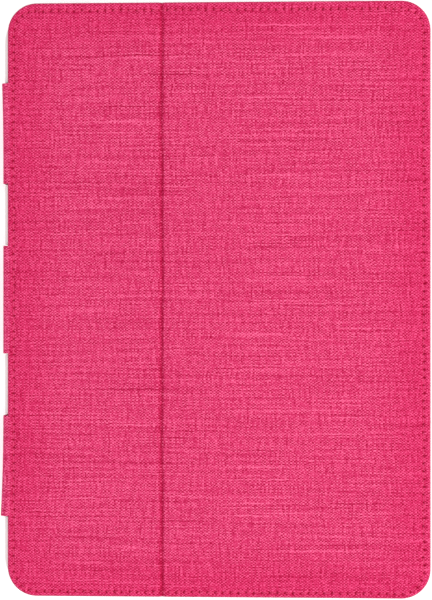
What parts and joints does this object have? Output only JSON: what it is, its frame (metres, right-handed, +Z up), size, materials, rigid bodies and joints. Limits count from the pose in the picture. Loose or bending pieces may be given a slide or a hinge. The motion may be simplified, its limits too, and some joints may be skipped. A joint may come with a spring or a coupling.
{
  "type": "tablet case",
  "caption": "Folio case for a tablet: hard snap-in tray between fabric covers, joined by fabric spine tabs, with a crease in the front cover so that it folds into a stand.",
  "frame": {"origin": "middle of the footprint, on the surface that the closed case lies on", "axes": "+X from the spine to the free edge, +Y along the spine to the head, +Z up through the layers from the back cover to the front cover"},
  "size_m": [0.179, 0.249, 0.0163],
  "materials": {
    "cover_fabric": "bright pink woven cloth with a linen look",
    "board": "uncoated grey pressed fibre board",
    "lining": "grey short-nap microsuede",
    "tray": "white moulded plastic, satin",
    "trim": "black moulded plastic, satin",
    "magnet": "nickel plated",
    "strike_plate": "rolled steel sheet"
  },
  "bodies": {
    "back": {"back_fabric": "cover_fabric", "back_board": "board", "back_lining": "lining", "strike_plate_upper": "strike_plate", "strike_plate_lower": "strike_plate", "camera_trim": "trim", "tray_shell": "tray", "tray_pad": "lining"},
    "spine": {"upper_tab_fabric": "cover_fabric", "upper_tab_reinforcement": "board", "upper_tab_lining": "lining", "middle_tab_fabric": "cover_fabric", "middle_tab_reinforcement": "board", "middle_tab_lining": "lining", "lower_tab_fabric": "cover_fabric", "lower_tab_reinforcement": "board", "lower_tab_lining": "lining"},
    "narrow_panel": {"narrow_panel_fabric": "cover_fabric", "narrow_panel_board": "board", "narrow_panel_lining": "lining"},
    "wide_panel": {"wide_panel_fabric": "cover_fabric", "wide_panel_board": "board", "wide_panel_lining": "lining", "wake_magnet": "magnet", "closure_magnet_1": "magnet", "closure_magnet_2": "magnet", "closure_magnet_3": "magnet", "closure_magnet_4": "magnet"}
  },
  "joints": [
    {"name": "spine_hinge", "type": "hinge", "parent": "back", "child": "spine", "pos_m": [-0.0882, 0, 0.0013], "axis": [0, -1, 0], "range_deg": [0, 90]},
    {"name": "cover_hinge", "type": "hinge", "parent": "spine", "child": "narrow_panel", "pos_m": [-0.0882, 0, 0.015], "axis": [0, -1, 0], "range_deg": [0, 175]},
    {"name": "crease_hinge", "type": "hinge", "parent": "narrow_panel", "child": "wide_panel", "pos_m": [-0.0227, 0, 0.0163], "axis": [0, -1, 0], "range_deg": [0, 120]}
  ]
}
